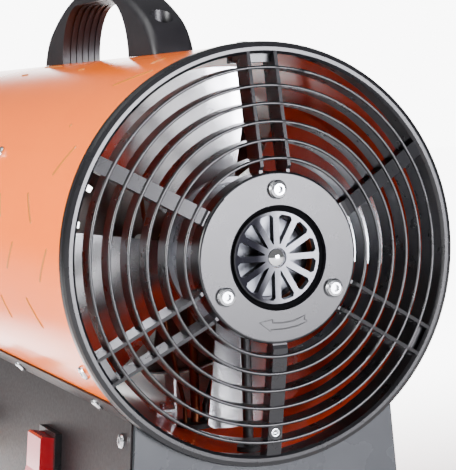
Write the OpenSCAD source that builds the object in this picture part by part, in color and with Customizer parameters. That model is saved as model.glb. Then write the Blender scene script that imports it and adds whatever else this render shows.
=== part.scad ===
// Gas forced air heater: a rolled steel shell on a sheet metal base, with a
// motor and fan behind a moulded inlet guard and a flame tube inside.
// X is across the heater, Y runs with the air from inlet to outlet, Z is up.

/* [Shell] */
// Outside diameter of the rolled shell
shell_d = 236; // [226:1:250]
// Length of the rolled shell
shell_len = 494; // [480:1:540]
// Sheet thickness of the shell
shell_t = 1; // [0.8:0.1:1.6]
// Width of the turned-in edge at the outlet
shell_lip = 5; // [3:0.5:8]

/* [Inlet guard] */
// Distance from the outside of the shell to the middle of the outermost ring
ring_inset = 13; // [11:0.5:16]
// Distance from ring to ring
ring_pitch = 10; // [9:0.5:10.5]
// Thickness of a ring
ring_t = 2; // [1.6:0.1:3]
// Depth of a ring along the air flow
ring_depth = 11.5; // [8:0.5:14]
// How far each ring stands behind the one outside it
ring_rise = 2.2; // [1:0.1:2.6]
// Thickness of the lip that wraps the shell end
lip_t = 1.4; // [1:0.1:2]
// Width of the face of the rim
rim_w = 5.4; // [4:0.1:7]
// Depth of the skirt inside the shell
skirt_depth = 16; // [12:1:26]
// Thickness of the skirt
skirt_t = 2; // [1.5:0.1:3]
// Width of the hub disc around its hole
hub_band = 18.4; // [16:0.1:20]
// Gap between the raised face of the motor and the edge of that hole
hub_gap = 2.6; // [1.5:0.1:4]
// Thickness of the hub disc
hub_t = 3; // [2:0.1:4]
// Depth of the skirt around the hub disc
hub_depth = 12; // [8:0.5:16]
// Width of the three flat bars
bar_w = 8.8; // [6:0.1:12]
// Depth of the three flat bars
bar_depth = 9; // [6:0.5:12]
// Middle distance between the ribs of a double bar
rib_pitch = 16.4; // [14:0.1:18]
// Thickness of those ribs
rib_t = 2; // [1.5:0.1:3]
// Depth of those ribs
rib_depth = 16; // [12:0.5:20]
// Distance of the motor screws from the edge of the hub disc
motor_screw_inset = 9.8; // [8:0.1:11]

/* [Motor] */
// How far the hub disc reaches past the motor can
can_inset = 7.7; // [6:0.1:10]
// Wall of the motor can
can_t = 1.5; // [1:0.1:2]
// Radius of the raised face of the rear bell
bell_r = 26.7; // [25:0.1:28]
// Thickness of the bells
bell_t = 4; // [3:0.1:5]
// Number of windows in the rear bell
window_count = 12; // [8:1:14]
// Width of the bell's face outside the windows
bell_band = 2.7; // [2:0.1:4]
// Width of the spokes between the windows
bell_spoke_w = 3.4; // [2.5:0.1:3.6]
// Radius of the motor shaft
shaft_r = 4; // [3:0.1:4.4]
// Radial running clearance of shaft in bush
run_gap = 0.05; // [0.02:0.01:0.09]
// Wall of the bearing bushes
bush_t = 1.6; // [1:0.1:2]
// Radius of the rotor core
rotor_r = 23; // [20:0.5:24]
// Air gap between rotor and stator
air_gap = 0.6; // [0.4:0.1:1]
// Length of the rotor and stator stacks
stack_len = 30; // [24:1:34]
// Length of the winding heads at each end of the stack
winding_len = 7.5; // [6:0.5:9]
// Space between the windings and a bell
winding_space = 3.5; // [2:0.5:6]

/* [Fan] */
// Gap between the blade tips and the shell
tip_gap = 10; // [6:1:14]
// Number of fan blades
blade_count = 4; // [3:1:5]
// Angle that one blade covers, seen from behind
blade_span = 62; // [40:1:64]
// Tilt of the blades out of the plane of rotation
blade_tilt = 24; // [15:1:30]
// Thickness of the blade sheet
blade_t = 1.5; // [1:0.1:2]
// Radius of the fan hub
fan_hub_r = 16; // [13:0.5:20]
// Length of the fan hub
fan_hub_len = 16; // [12:1:20]
// Direction of the middle of the first blade
fan_turn = 112; // [90:1:135]

/* [Flame tube] */
// Space between the shell and the flame tube
tube_space = 29; // [22:1:34]
// Sheet thickness of the flame tube
tube_t = 1; // [0.8:0.1:1.6]
// Distance from the end of the motor shaft to the flame tube
tube_gap = 65.6; // [55:0.1:90]
// Radius of the burner cup
cup_r = 32; // [26:1:40]
// Length of the burner cup
cup_len = 44; // [34:1:55]
// Radius of the gas pipe
pipe_r = 3; // [2.5:0.1:4]
// Bend radius of the gas pipe, to its middle
pipe_bend = 14; // [12:1:18]

/* [Handle] */
// Length of the handle along the shell
handle_len = 238; // [220:1:260]
// Width of the handle
handle_w = 28.6; // [24:0.1:34]
// Height of the handle above the shell
handle_h = 50.5; // [46:0.5:60]
// Thickness of the grip at the middle
grip_t = 11; // [10:0.5:14]
// Length of each foot of the handle
leg_len = 49; // [44:0.5:56]
// Radius of the long edges of the handle
handle_edge_r = 5; // [2:0.5:7]
// Distance of a handle screw from its end of the handle
handle_screw_inset = 23; // [20:0.5:26]

/* [Base] */
// Length of the side panels
base_len = 399; // [380:1:420]
// Angle below level at which the side panels meet the shell
panel_angle = 47.03; // [44:0.01:50]
// Height of the side panels' top edge above the floor
base_h = 111.6; // [105:0.1:125]
// Outward lean of the side panels in degrees
base_lean = 4.4; // [0:0.1:8]
// Sheet thickness of the base
base_t = 1.2; // [1:0.1:1.5]
// Height of the rubber feet
foot_h = 10; // [8:1:14]
// Radius of the rubber feet
foot_r = 12; // [10:0.5:14]
// Width of the flange along the shell
flange_w = 14; // [10:0.5:18]

/* [Controls] */
// Length of the switch bezel along the panel
bezel_l = 34; // [32:0.5:40]
// Height of the switch bezel
bezel_h = 54; // [50:0.5:58]
// How far the bezel stands off the panel
bezel_t = 4.4; // [3:0.1:6]
// Tilt of the rocker each way
rocker_tilt = 8; // [5:1:10]
// Radius of the gas valve button
valve_button_r = 11; // [9:0.5:13]
// Travel of the gas valve button
valve_travel = 6; // [4:0.5:8]
// Radius of the igniter button
piezo_button_r = 7; // [6:0.5:8.5]
// Travel of the igniter button
piezo_travel = 7; // [5:0.5:9]
// Radius of the gas inlet thread
inlet_r = 8.3; // [6:0.1:9]
// Length of the gas inlet thread
inlet_len = 14; // [10:1:18]

/* [Hidden] */
$fn = 96;
// Overrun of every cut
cut = 1;
// Clearance where one fixed piece sits in another
seat = 0.1;
// Radius of the shell outside and inside
shell_r = shell_d/2;
shell_in_r = shell_r - shell_t;
// Rings of the guard and its hub disc
ring_first_r = shell_r - ring_inset;
hub_hole_r = bell_r + hub_gap;
hub_r = hub_hole_r + hub_band;
ring_count = floor((ring_first_r - hub_r - 2*ring_t)/ring_pitch) + 1;
motor_screw_r = hub_r - motor_screw_inset;
// Places along the air flow, counted from the front plane of the first ring
shell_back = 6;
shell_front = shell_back + shell_len;
// Front plane of the hub disc
hub_y = -(ring_first_r - hub_r)*ring_rise/ring_pitch + 0.5*ring_t;
// Motor screws: shank radius, head radius and head height
motor_shank_r = 2.5;
motor_head_r = 5.3;
motor_head_h = 3.8;
// Furthest points to the rear and to the front
rear_y = hub_y - motor_head_h;
guard_y = -(shell_front + rear_y)/2;

// Guard rim and lugs
rim_r = shell_r + seat + lip_t;
lip_len = 4;
rim_face_y = 2.2;
rim_round = 1.6;
lug_depth = 10;
lug_back = shell_back + 1.2;
lug_t = 9;
lug_angles = [90, 210, 330];
bar_angles = [30, 150, 270];
// Bars stand this far behind the ring fronts
bar_inset = 1.5;
rib_inset = 0.4;
// Depth below the hub's face where the bars run under its edge
dip_share = 0.7;
hub_round_r = 1.5;
lug_set = 0.5;
guard_screw_y = shell_back + skirt_depth + lug_depth/2;

// Small screws into sheet
screw_r = 2.1;
screw_head_r = 4.3;
screw_head_h = 2.2;
screw_len = 9;
screw_hole_r = screw_r + seat;
// Short screws, as shares of that length
panel_screw_share = 0.6;
tube_screw_share = 0.7;
// Outline of every screw head and its socket, as shares of the head
rim_share = 0.45;
brow_share = 0.85;
crown_share = 0.86;
flat_share = 0.6;
socket_share = 0.42;

// Motor sizes, and places along the air flow
can_r = hub_r - can_inset;
can_len = stack_len + 2*(winding_len + winding_space);
window_out_r = bell_r - bell_band;
bell_face_y = hub_y + 2;
bell_flange_y = hub_y + hub_t;
can_back = bell_flange_y + bell_t;
can_front = can_back + can_len;
bell_flange_r = can_r + 3;
stack_back = can_back + (can_len - stack_len)/2;
stack_front = stack_back + stack_len;
slot_hole_r = 3;
slot_wall = 2.4;
slot_r = rotor_r + air_gap + slot_wall + slot_hole_r;
window_corner = 1.6;
bush_len = 9;
bush_set = 1;
shaft_set = 1.5;
winding_gap = 1;
slot_count = 12;
vent_count = 6;
vent_turn = 30;
vent_pitch_share = 0.62;
vent_share = 0.16;
boss_wall = 1.5;
boss_r = shaft_r + run_gap + bush_t + boss_wall;
window_set = 0.4;
window_in_r = boss_r + window_set;
front_bell_front = can_front + bell_t;
fan_gap = 8;
fan_back = front_bell_front + fan_gap;
fan_mid_share = 0.75;
fan_mid_y = fan_back + fan_hub_len*fan_mid_share;
fan_boss_r = fan_hub_r - 6;
collar_len = 4;
root_lap = 4;
shaft_tail = 3;
fan_front = fan_back + fan_hub_len;
nut_len = 6;
nut_r = 7;
shaft_end = fan_front + nut_len + shaft_tail;
cap_r = shaft_r + run_gap + bush_t - seat;
cap_rise = 1.5;
cap_dome_share = 1.3;
spider_r = 24;
fan_r = shell_in_r - tip_gap;
blade_camber_r = 150;
blade_root_w = 26;
// Circle that rounds the corners of a blade, and how far it passes the tip
blade_round_r = 60;
blade_round_set = 17;
cable_y = 38;
cable_r = 3.2;

// Flame tube places
tube_r = shell_in_r - tube_space;
tube_inset = 10;
tube_front = shell_front - tube_inset;
tube_back = shaft_end + tube_gap;
plate_inset = 8;
plate_y = tube_back + plate_inset;
tube_lip = 6;
plate_t = 1.2;
bracket_t = 1.5;
bracket_len = 16;
bracket_tab = 14;
bracket_angles = [30, 150, 270];
bracket_insets = [28, 24];
bracket_ys = [tube_back + bracket_insets[0], tube_front - bracket_insets[1]];
nozzle_r = 6.5;
nozzle_len = 22;
nozzle_tip_r = 4;
nozzle_tip_len = 7;
socket_len = 8;
jet_r = 0.8;
air_slot_count = 16;
air_slot_inset = 10;
air_slot_len = 18;
air_slot_r = tube_r - air_slot_inset - air_slot_len;
air_slot_w = 4;
cup_foot = 7;
air_hole_count = 8;
air_hole_inset = 6;
air_hole_pitch_r = cup_r - cup_foot - air_hole_inset;
air_hole_r = 3.5;
cup_t = 1;
cup_lip = 5;
cup_hole_count = 12;
cup_hole_r = 3.5;
cup_row_shares = [0.35, 0.68];
pipe_stub = 2;
pipe_y = plate_y - nozzle_len - pipe_bend - pipe_stub;
grommet_rs = [12, 7];
grommet_ys = [pipe_y, cable_y];
grommet_len = 8;
lead_x = 7;
lead_r = 2.2;
thermo_lead_r = 1.4;
thermo_angle = 118;
thermo_gap = 21;
thermo_r = cup_r + cup_foot + thermo_gap;
spark_angle = 330;
spark_gap = 5;
spark_r = cup_r + cup_foot + spark_gap;
probe_r = 2.5;
probe_tail = 12;
probe_len = 34;
probe_nut_r = 5.75;
probe_nut_len = 6;
ceramic_r = 3.4;
ceramic_len = 18;
spark_rod_r = 1.1;
spark_tail = 24;
spark_len = 40;
spark_nut_r = 5.8;
spark_nut_len = 5;
lead_bend = 14;
lead_side = 25;
lead_over = 8;
lead_under = 12;
wire_r = 1.6;
wire_pitch = 28;
wire_hub_r = 11;
wire_ring_count = 3;
wire_rod_count = 8;
// Rings and rods of the outlet guard bite into each other by this share
wire_lap = 1.6;

// Handle arch, drawn in the plane across the shell length
handle_place_share = 0.491;
handle_y = shell_back + shell_len*handle_place_share;
handle_screw_pitch = handle_len - 2*handle_screw_inset;
hand_len = handle_len - 2*leg_len;
arch_r = 190;
arch_corner_r = 45;
arch_top_z = shell_r + handle_h;
arch_c_z = arch_top_z - arch_r;
arch_corner_y = handle_len/2 - arch_corner_r;
arch_corner_z = arch_c_z + sqrt(pow(arch_r - arch_corner_r, 2) - pow(arch_corner_y, 2));
hand_corner_r = 40;
hand_top_z = arch_top_z - grip_t;
groove_count = 5;
groove_w = 2.2;
groove_pitch = 4.6;
groove_depth = 1.2;
well_r = 7.3;
well_floor = 11;
handle_shank_r = 2.6;
handle_head_r = 5.2;
handle_head_h = 3.4;
handle_nut_r = 4.7;
handle_nut_h = 4;

// Base sheet metal
base_back = 14;
base_front = base_back + base_len;
plate_set = 3.4;
plate_flange = 24;
seat_r = shell_r + seat;
top_x = seat_r*cos(panel_angle);
top_z = -seat_r*sin(panel_angle);
floor_z = top_z - base_h;
axis_h = -floor_z;
pan_z = floor_z + foot_h;
flange_angle = flange_w/seat_r*180/PI;
fold_turn = 0.5;
// Length of the cutters that pass one sheet, and height of the plates behind the shell
panel_cut = 4*base_t;
plate_top_z = top_z*2/3;
tray_flange = 16;
flange_screw_share = 0.42;
flange_screw_angle = panel_angle - flange_angle*flange_screw_share;
flange_screw_inset = 42;
flange_screw_ys = [base_back + flange_screw_inset, (base_back + base_front)/2,
    base_front - flange_screw_inset];
side_screw_inset = 13.5;
side_screw_ys = [base_back + side_screw_inset, base_front - side_screw_inset];
side_screw_drop = 13.6;
side_screw_rise = 25.6;
side_screw_drops = [side_screw_drop, top_z - pan_z - side_screw_rise];
foot_inset_x = 24;
foot_inset_y = 34;
foot_sink_share = 0.45;
foot_taper_share = 0.86;
foot_gap = 1;

// Control places on the left panel, from the ends of the base and from its top and bottom
switch_inset = 140;
switch_drop = 56;
switch_y = base_back + switch_inset;
switch_z = top_z - switch_drop;
bezel_wall = 3;
bezel_plate = 2;
rocker_gap = 0.4;
rocker_end_gap = 1.5;
rocker_rise = 11.7;
valve_inset = 45;
piezo_pitch = 50;
valve_y = base_front - valve_inset;
piezo_y = valve_y - piezo_pitch;
button_drop = 47.6;
button_z = top_z - button_drop;
button_out = 9;
button_gap = 0.3;
button_sink = 6;
button_round = 1.8;
collar_t = 2.6;
collar_out = 4.6;
valve_w = 26;
valve_back = 8;
valve_depth = 34;
pipe_sink = 5;
pipe_gap = 0.5;
stem_r = 3;
stem_hole = 12;
stem_len = 9;
inlet_rise = 28;
inlet_z = pan_z + inlet_rise;
inlet_hex_wall = 2.9;
inlet_hex_r = inlet_r + inlet_hex_wall;
inlet_neck_r = inlet_r + seat + seat;
inlet_flange = 4;
inlet_bore_r = 4.6;
piezo_depth = 42;
pipe_rise = 36;
pipe_z = pan_z + pipe_rise;
switch_depth = 24;
switch_wall = 9.6;
pin_r = 1.6;
pin_set = 0.6;
rocker_heel = 4.9;
rocker_dish = 2.6;
rocker_round = 1.2;
pivot_z = -2;
gland_r = 8;
gland_x = 45;
gland_rise = 28;
gland_z = pan_z + gland_rise;
gland_bore_r = 4;
gland_hex_r = 10.8;
gland_hex_len = 6;
gland_nut_len = 4;
gland_len = 8;
gland_out = 19;
gland_tip_r = 5;
gland_cap_r = 9.2;
gland_round = 5;
block_x = 30;
block_y = 90;
block_l = 36;
block_w = 20;
block_h = 16;
pole_count = 4;
pole_r = 3;

// Puts a piece drawn about the shell axis into the heater's own frame
module on_axis() {
    translate([0, guard_y, axis_h]) children();
}

// Outline seen from behind, carried from one place along the axis to another
module slab(y0, y1) {
    translate([0, y1, 0]) rotate([90, 0, 0]) linear_extrude(y1 - y0) children();
}

// Solid of revolution about the shell axis, with points as radius and place
module spun(points) {
    rotate([-90, 0, 0]) rotate_extrude() polygon(points);
}

// Round bar along the shell axis
module rod(r, y0, y1) {
    translate([0, y0, 0]) rotate([-90, 0, 0]) cylinder(r = r, h = y1 - y0);
}

// Turns a piece that points along X to an angle seen from behind
module clock(angle) {
    rotate([0, -angle, 0]) children();
}

// Stands a piece that points up Z on a radius, pointing away from the axis
module radial(angle, r, y) {
    clock(angle) translate([r, y, 0]) rotate([0, 90, 0]) children();
}

// Pan head screw pointing down from its seat
module screw(shank_r, shank_len, head_r, head_h) {
    translate([0, 0, -shank_len]) cylinder(r = shank_r, h = shank_len + head_h/2, $fn = 48);
    difference() {
        rotate_extrude($fn = 48) polygon([[0, 0], [head_r, 0], [head_r, head_h*rim_share],
            [head_r*crown_share, head_h*brow_share], [head_r*flat_share, head_h], [0, head_h]]);
        translate([0, 0, head_h*rim_share]) cylinder(r = head_r*socket_share, h = head_h, $fn = 6);
    }
}

// Bent lead of one radius through a list of points
module route(points, r) {
    for (i = [0 : len(points) - 2]) hull() {
        translate(points[i]) sphere(r = r, $fn = 16);
        translate(points[i + 1]) sphere(r = r, $fn = 16);
    }
}

// Quarter bend of the gas pipe, centred on its own bend centre
module pipe_elbow() {
    rotate_extrude(angle = 90) translate([pipe_bend, 0]) circle(r = pipe_r, $fn = 48);
}

// Holes for the small screws that pass the shell
module shell_holes() {
    for (a = lug_angles) radial(a, shell_in_r - cut, guard_screw_y)
        cylinder(r = screw_hole_r, h = shell_t + 2*cut);
    for (y = bracket_ys, a = bracket_angles) radial(a, shell_in_r - cut, y)
        cylinder(r = screw_hole_r, h = shell_t + 2*cut);
    for (y = flange_screw_ys, a = [-flange_screw_angle, 180 + flange_screw_angle])
        radial(a, shell_in_r - cut, y) cylinder(r = screw_hole_r, h = shell_t + 2*cut);
    for (s = [-1, 1]) radial(90, shell_in_r - cut, handle_y + s*handle_screw_pitch/2)
        cylinder(r = handle_shank_r + seat, h = shell_t + 2*cut);
    for (i = [0, 1]) translate([0, grommet_ys[i], -shell_r - cut])
        cylinder(r = grommet_rs[i] + seat, h = shell_t + 3*cut + grommet_rs[i]/2);
}

module outer_shell() {
    color("orangered") on_axis() difference() {
        spun([[shell_r, shell_back], [shell_r, shell_front], [shell_r - shell_lip, shell_front],
            [shell_r - shell_lip, shell_front - shell_t], [shell_in_r, shell_front - shell_t],
            [shell_in_r, shell_back]]);
        shell_holes();
    }
}

// Front of the guard's dome at a radius
function dome_y(r) = -(ring_first_r - r)*ring_rise/ring_pitch;

// Ring of the guard with a rounded front edge
module guard_ring(r) {
    rotate([-90, 0, 0]) rotate_extrude() union() {
        translate([r - ring_t/2, dome_y(r) + ring_t/2]) square([ring_t, ring_depth - ring_t/2]);
        translate([r, dome_y(r) + ring_t/2]) circle(d = ring_t, $fn = 32);
    }
}

// Wall of the guard that follows the dome and dips under the edge of the hub
module guard_wall(angle, offset, w, inset, depth) {
    r_in = hub_r - skirt_t/2;
    r_dip = hub_r + hub_t;
    r_out = shell_in_r - seat - skirt_t/2;
    clock(angle) translate([0, 0, offset - w/2]) linear_extrude(w) polygon([
        [r_in, hub_y + dip_share*hub_t], [hub_r + hub_t*(1 - dip_share), hub_y + dip_share*hub_t],
        [r_dip, dome_y(r_dip) + inset], [r_out, dome_y(r_out) + inset],
        [r_out, dome_y(r_out) + inset + depth], [r_in, dome_y(r_in) + inset + depth]]);
}

// Rim, lip over the shell end and skirt inside it
module guard_rim() {
    skirt_out = shell_in_r - seat;
    face_in = rim_r - lip_t - rim_w + rim_round;
    spun([[face_in - rim_round, rim_face_y + rim_round], [face_in, rim_face_y],
        [rim_r - 2*rim_round, rim_face_y], [rim_r - rim_round/2, rim_face_y + rim_round/2],
        [rim_r, rim_face_y + 2*rim_round], [rim_r, shell_back + lip_len],
        [shell_r + seat, shell_back + lip_len], [shell_r + seat, shell_back],
        [skirt_out, shell_back], [skirt_out, shell_back + skirt_depth],
        [skirt_out - skirt_t, shell_back + skirt_depth], [skirt_out - skirt_t, shell_back]]);
}

// Hub disc with its rounded edge, skirt and the sleeve around its hole
module guard_hub() {
    rotate([-90, 0, 0]) rotate_extrude() union() {
        translate([hub_hole_r, hub_y]) square([hub_r - hub_hole_r - hub_round_r, hub_t]);
        translate([hub_r - hub_round_r, hub_y + hub_round_r]) circle(r = hub_round_r, $fn = 32);
        translate([hub_r - skirt_t, hub_y + hub_round_r]) square([skirt_t, hub_depth - hub_round_r]);
    }
}

module inlet_guard() {
    color("dimgray") on_axis() difference() {
        union() {
            guard_rim();
            guard_hub();
            for (i = [0 : ring_count - 1]) guard_ring(ring_first_r - i*ring_pitch);
            for (a = bar_angles) guard_wall(a, 0, bar_w, bar_inset, bar_depth);
            for (a = lug_angles, s = [-1, 1])
                guard_wall(a, s*rib_pitch/2, rib_t, rib_inset, rib_depth);
            for (a = lug_angles) clock(a) intersection() {
                translate([shell_in_r - lug_t, lug_back, -rib_pitch/2])
                    cube([lug_t, guard_screw_y + lug_depth/2 - lug_back, rib_pitch]);
                rod(shell_in_r - lug_set, shell_back, guard_screw_y + lug_depth);
            }
        }
        for (a = lug_angles) radial(a, shell_in_r - lug_t - cut, guard_screw_y)
            cylinder(r = screw_hole_r, h = lug_t + 2*cut);
        for (a = lug_angles) clock(a) translate([motor_screw_r, 0, 0])
            rod(motor_shank_r + seat, hub_y - cut, hub_y + hub_t + cut);
    }
}

module guard_screws() {
    color("silver") on_axis() for (a = lug_angles) radial(a, shell_r, guard_screw_y)
        screw(screw_r, screw_len, screw_head_r, screw_head_h);
}

module motor_screws() {
    color("silver") on_axis() for (a = lug_angles) clock(a) translate([motor_screw_r, hub_y, 0])
        rotate([90, 0, 0]) screw(motor_shank_r, hub_t + bell_t, motor_head_r, motor_head_h);
}

// Window of the bell between two spokes, with its outer corners cut off
module bell_window() {
    half = 180/window_count;
    side = bell_spoke_w/2/sin(half);
    run = sqrt(pow(window_out_r, 2) - pow(side*sin(half), 2)) - side*cos(half) - window_corner;
    edge_x = side + run*cos(half);
    edge_y = run*sin(half);
    tip_x = edge_x + 2*window_corner*cos(half - 45);
    tip_y = edge_y + 2*window_corner*sin(half - 45);
    difference() {
        intersection() {
            circle(r = window_out_r);
            polygon([[side, 0], [edge_x, edge_y], [tip_x, tip_y], [tip_x, -tip_y], [edge_x, -edge_y]]);
        }
        circle(r = window_in_r);
    }
}

module motor_rear_bell() {
    color("gainsboro") on_axis() difference() {
        union() {
            rod(bell_r, bell_face_y, bell_flange_y + bell_t);
            rod(bell_flange_r, bell_flange_y, bell_flange_y + bell_t);
            rod(boss_r, bell_flange_y, bell_flange_y + bush_len);
        }
        rod(shaft_r + run_gap + bush_t, bell_face_y - cut, bell_flange_y + bush_len + cut);
        for (i = [0 : window_count - 1]) clock((i + 1/2)*360/window_count)
            slab(bell_face_y - cut, bell_flange_y + bell_t + cut) bell_window();
        for (a = lug_angles) clock(a) translate([motor_screw_r, 0, 0])
            rod(motor_shank_r, bell_flange_y - cut, bell_flange_y + bell_t + cut);
    }
}

module bearing_cap() {
    dome_r = cap_r*cap_dome_share;
    color("white") on_axis() intersection() {
        translate([0, bell_face_y - cap_rise + dome_r, 0]) sphere(r = dome_r, $fn = 64);
        rod(cap_r, bell_face_y - cap_r, bell_flange_y + seat);
    }
}

module bush(y0) {
    difference() {
        rod(shaft_r + run_gap + bush_t, y0, y0 + bush_len - bush_set);
        rod(shaft_r + run_gap, y0 - cut, y0 + bush_len + cut);
    }
}

module rear_bush() {
    color("peru") on_axis() bush(bell_flange_y + bush_set);
}

module motor_can() {
    color("darkgray") on_axis() difference() {
        rod(can_r, can_back, can_front);
        rod(can_r - can_t, can_back - cut, can_front + cut);
    }
}

module stator_core() {
    color("slategray") on_axis() difference() {
        rod(can_r - can_t - seat, stack_back, stack_front);
        rod(rotor_r + air_gap, stack_back - cut, stack_front + cut);
        for (i = [0 : slot_count - 1]) clock(i*360/slot_count) translate([slot_r, 0, 0])
            rod(slot_hole_r, stack_back - cut, stack_front + cut);
    }
}

module stator_windings() {
    mid_r = (can_r - can_t + rotor_r + air_gap)/2;
    half = (can_r - can_t - rotor_r - air_gap)/2 - winding_gap;
    color("chocolate") on_axis() for (y = [stack_back - winding_len, stack_front])
        translate([0, y, 0]) rotate([-90, 0, 0]) rotate_extrude() translate([mid_r - half, 0]) union() {
            translate([half/2, 0]) square([half, winding_len]);
            translate([half/2, winding_len/2]) circle(r = min(half/2, winding_len/2), $fn = 32);
            translate([half + half/2, winding_len/2]) circle(r = min(half/2, winding_len/2), $fn = 32);
        }
}

module motor_front_bell() {
    color("gainsboro") on_axis() difference() {
        union() {
            rod(bell_flange_r, can_front, front_bell_front);
            rod(boss_r, front_bell_front - bush_len, front_bell_front + bush_set);
        }
        rod(shaft_r + run_gap + bush_t, can_front - bush_len - cut, front_bell_front + bush_set + cut);
        for (i = [0 : vent_count - 1]) clock(i*360/vent_count + vent_turn)
            translate([can_r*vent_pitch_share, 0, 0])
                rod(can_r*vent_share, can_front - cut, front_bell_front + cut);
    }
}

module front_bush() {
    color("peru") on_axis() bush(front_bell_front - bush_len + bush_set);
}

module rotor_core() {
    color("silver") on_axis() difference() {
        rod(rotor_r, stack_back, stack_front);
        rod(shaft_r, stack_back - cut, stack_front + cut);
    }
}

module motor_shaft() {
    color("silver") on_axis() rod(shaft_r, bell_flange_y + shaft_set, shaft_end);
}

module fan_hub() {
    color("lightgray") on_axis() difference() {
        union() {
            rod(fan_boss_r, fan_back, fan_front);
            rod(fan_hub_r, fan_mid_y - blade_t/2 - collar_len, fan_mid_y - blade_t/2);
        }
        rod(shaft_r, fan_back - cut, fan_front + cut);
    }
}

// One pressed blade: a cambered sheet trimmed to its outline and tilted
module fan_blade() {
    root = spider_r - root_lap;
    reach = 2*fan_r;
    intersection() {
        rotate([-blade_tilt, 0, 0]) translate([root, blade_camber_r, 0]) rotate([0, 90, 0]) difference() {
            cylinder(r = blade_camber_r + blade_t/2, h = fan_r, $fn = 192);
            translate([0, 0, -cut]) cylinder(r = blade_camber_r - blade_t/2, h = fan_r + 2*cut, $fn = 192);
        }
        slab(-blade_camber_r/2, blade_camber_r/2) intersection() {
            circle(r = fan_r);
            translate([fan_r + blade_round_set - blade_round_r, 0]) circle(r = blade_round_r);
            polygon([[root, -blade_root_w/2], [root, blade_root_w/2],
                [reach*cos(blade_span/2), reach*sin(blade_span/2)],
                [reach*cos(blade_span/2), -reach*sin(blade_span/2)]]);
        }
    }
}

module fan_blades() {
    color("whitesmoke") on_axis() difference() {
        union() {
            rod(spider_r, fan_mid_y - blade_t/2, fan_mid_y + blade_t/2);
            for (i = [0 : blade_count - 1]) translate([0, fan_mid_y, 0])
                clock(fan_turn + i*360/blade_count) fan_blade();
        }
        rod(fan_boss_r + seat, fan_mid_y - spider_r, fan_mid_y + spider_r);
    }
}

module fan_nut() {
    color("silver") on_axis() difference() {
        translate([0, fan_front, 0]) rotate([-90, 0, 0]) cylinder(r = nut_r, h = nut_len, $fn = 6);
        rod(shaft_r, fan_front - cut, fan_front + nut_len + cut);
    }
}

module flame_tube() {
    in_r = tube_r - tube_t;
    color("lightsteelblue") on_axis() difference() {
        spun([[tube_r, tube_back], [tube_r, tube_front], [tube_r - tube_lip, tube_front],
            [tube_r - tube_lip, tube_front - tube_t], [in_r, tube_front - tube_t], [in_r, tube_back]]);
        for (y = bracket_ys, a = bracket_angles) radial(a, in_r - cut, y)
            cylinder(r = screw_hole_r, h = tube_t + 2*cut);
    }
}

// Folded strap that carries the flame tube inside the shell
module tube_bracket() {
    in_r = tube_r + seat;
    out_r = sqrt(pow(shell_in_r, 2) - pow(bracket_tab/2, 2)) - seat;
    linear_extrude(bracket_len) polygon([[in_r, -bracket_tab/2], [in_r + bracket_t, -bracket_tab/2],
        [in_r + bracket_t, bracket_tab/2 - bracket_t], [out_r - bracket_t, bracket_tab/2 - bracket_t],
        [out_r - bracket_t, -bracket_tab/2], [out_r, -bracket_tab/2],
        [out_r, bracket_tab/2], [in_r, bracket_tab/2]]);
}

module tube_brackets() {
    color("silver") on_axis() for (y = bracket_ys, a = bracket_angles) clock(a)
        translate([0, y + bracket_len/2, 0]) rotate([90, 0, 0]) difference() {
            tube_bracket();
            for (r = [tube_r, shell_in_r]) translate([r - 2*bracket_t, 0, bracket_len/2])
                rotate([0, 90, 0]) cylinder(r = screw_hole_r, h = 2*bracket_t + 2*cut);
        }
}

module tube_screws() {
    color("silver") on_axis() for (y = bracket_ys, a = bracket_angles) {
        radial(a, shell_r, y) screw(screw_r, screw_len*tube_screw_share, screw_head_r, screw_head_h);
        radial(a, tube_r + seat + bracket_t, y)
            screw(screw_r, screw_len*panel_screw_share, screw_head_r, screw_head_h);
    }
}

module burner_plate() {
    y0 = plate_y - cut;
    y1 = plate_y + plate_t + cut;
    color("silver") on_axis() difference() {
        rod(tube_r - tube_t - seat, plate_y, plate_y + plate_t);
        rod(nozzle_tip_r + seat, y0, y1);
        for (i = [0 : air_slot_count - 1]) clock((i + 1/2)*360/air_slot_count)
            translate([air_slot_r, y0, -air_slot_w/2]) cube([air_slot_len, y1 - y0, air_slot_w]);
        for (i = [0 : air_hole_count - 1]) clock(i*360/air_hole_count) translate([air_hole_pitch_r, 0, 0])
            rod(air_hole_r, y0, y1);
        clock(spark_angle) translate([spark_r, 0, 0]) rod(ceramic_r + seat, y0, y1);
        clock(thermo_angle) translate([thermo_r, 0, 0]) rod(probe_r + seat, y0, y1);
    }
}

module burner_cup() {
    y0 = plate_y + plate_t;
    y1 = y0 + cup_len;
    color("gray") on_axis() difference() {
        spun([[cup_r - cup_foot, y0], [cup_r + cup_foot, y0], [cup_r + cup_foot, y0 + cup_t],
            [cup_r, y0 + cup_t], [cup_r, y1], [cup_r - cup_lip, y1], [cup_r - cup_lip, y1 - cup_t],
            [cup_r - cup_t, y1 - cup_t],
            [cup_r - cup_t, y0 + cup_t], [cup_r - cup_foot, y0 + cup_t]]);
        for (k = [0, 1], i = [0 : cup_hole_count - 1])
            radial((i + k/2)*360/cup_hole_count, cup_r - cup_lip, y0 + cup_len*cup_row_shares[k])
                cylinder(r = cup_hole_r, h = 2*cup_lip, $fn = 24);
    }
}

module gas_nozzle() {
    y0 = plate_y - nozzle_len;
    color("goldenrod") on_axis() difference() {
        union() {
            translate([0, y0, 0]) rotate([-90, 0, 0]) cylinder(r = nozzle_r, h = nozzle_len, $fn = 6);
            rod(nozzle_tip_r, y0, plate_y + nozzle_tip_len);
        }
        rod(pipe_r + seat, y0 - cut, y0 + socket_len);
        rod(jet_r, y0, plate_y + nozzle_tip_len + cut);
    }
}

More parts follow.
